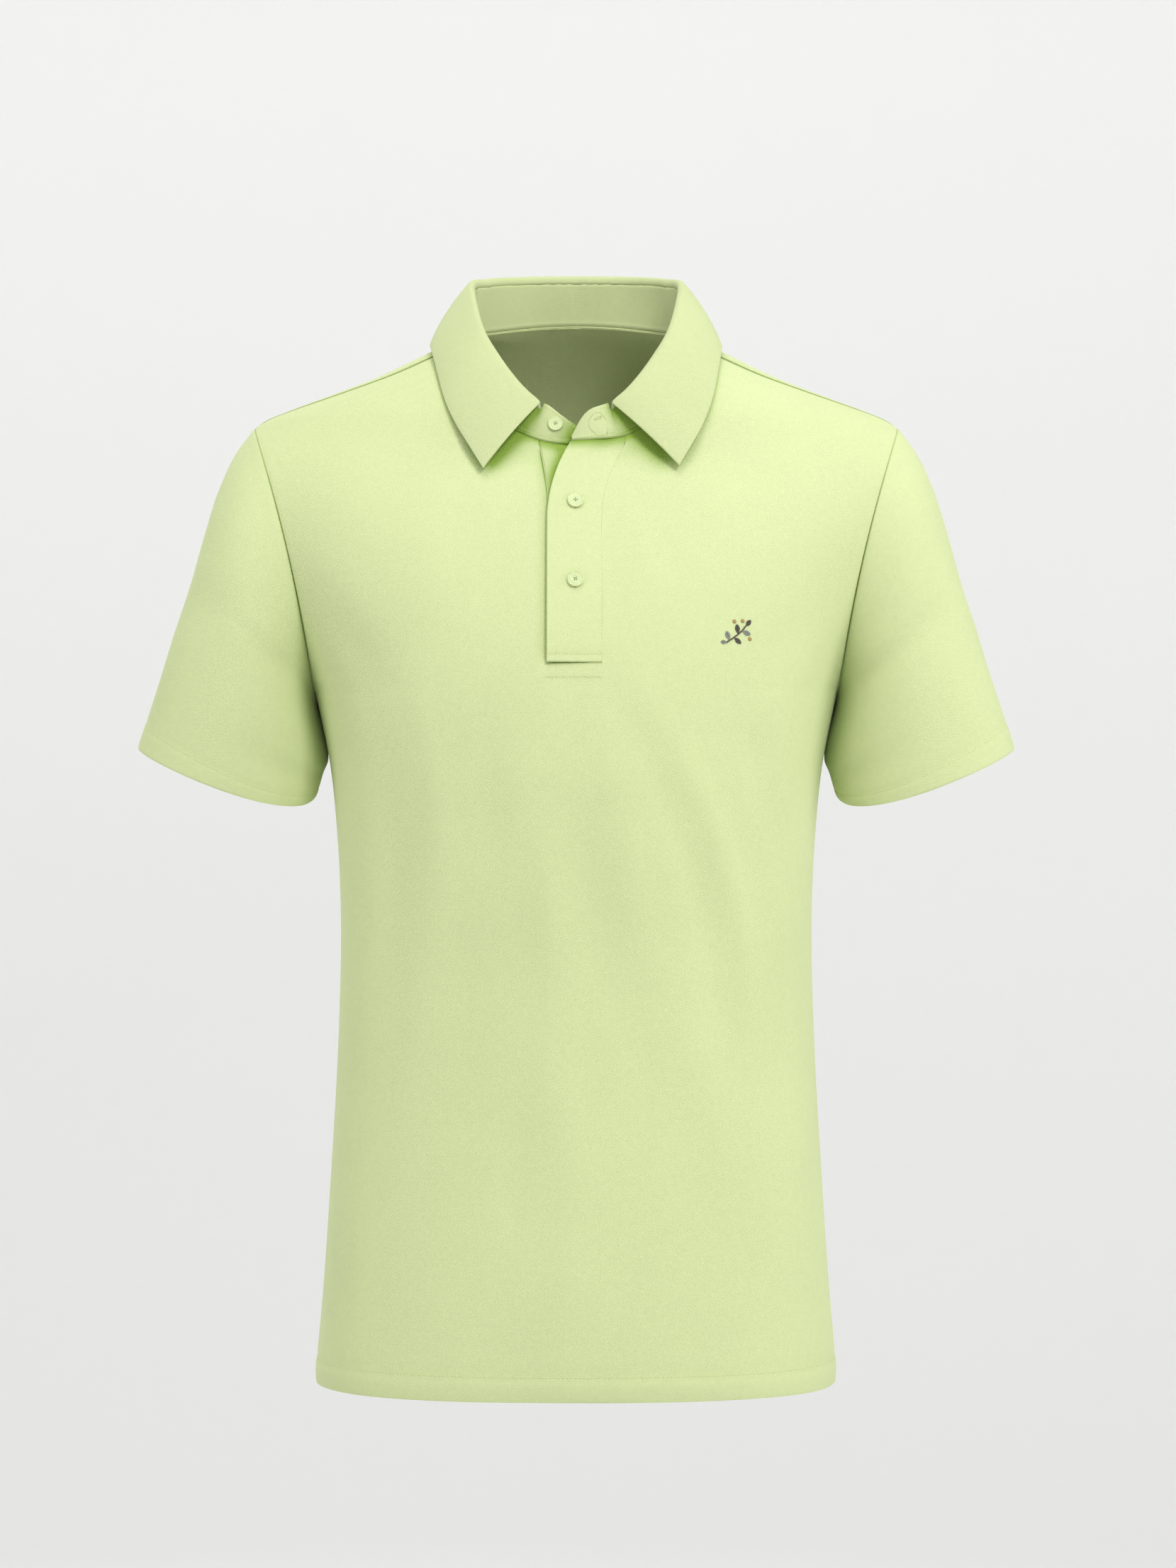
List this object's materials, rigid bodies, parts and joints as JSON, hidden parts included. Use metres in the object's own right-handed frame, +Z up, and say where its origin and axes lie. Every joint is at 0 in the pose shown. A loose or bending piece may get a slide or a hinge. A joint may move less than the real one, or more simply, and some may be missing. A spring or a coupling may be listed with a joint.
{
  "type": "polo shirt",
  "caption": "Short-sleeved polo shirt in its worn, hollow form, with a folded collar on a stand and a buttoned placket open in a V at the neck.",
  "frame": {"origin": "centre of the neck opening, level with the neck points of the shoulder line, where the wearer's neck and shoulders hold the shirt", "axes": "+X towards the wearer's left, -Y towards the front, +Z up towards the head"},
  "size_m": [0.613, 0.2529, 0.7804],
  "materials": {
    "body_cloth": "matte",
    "collar_cloth": "matte",
    "placket_cloth": "matte",
    "buttons": "satin"
  },
  "bodies": {
    "root": {"front_panel": "body_cloth", "back_panel": "body_cloth", "sleeve_left": "body_cloth", "sleeve_right": "body_cloth", "collar_stand": "collar_cloth", "collar_fall": "collar_cloth", "placket_upper": "placket_cloth", "placket_under": "placket_cloth", "button_collar": "buttons", "button_upper": "buttons", "button_lower": "buttons"}
  },
  "joints": []
}
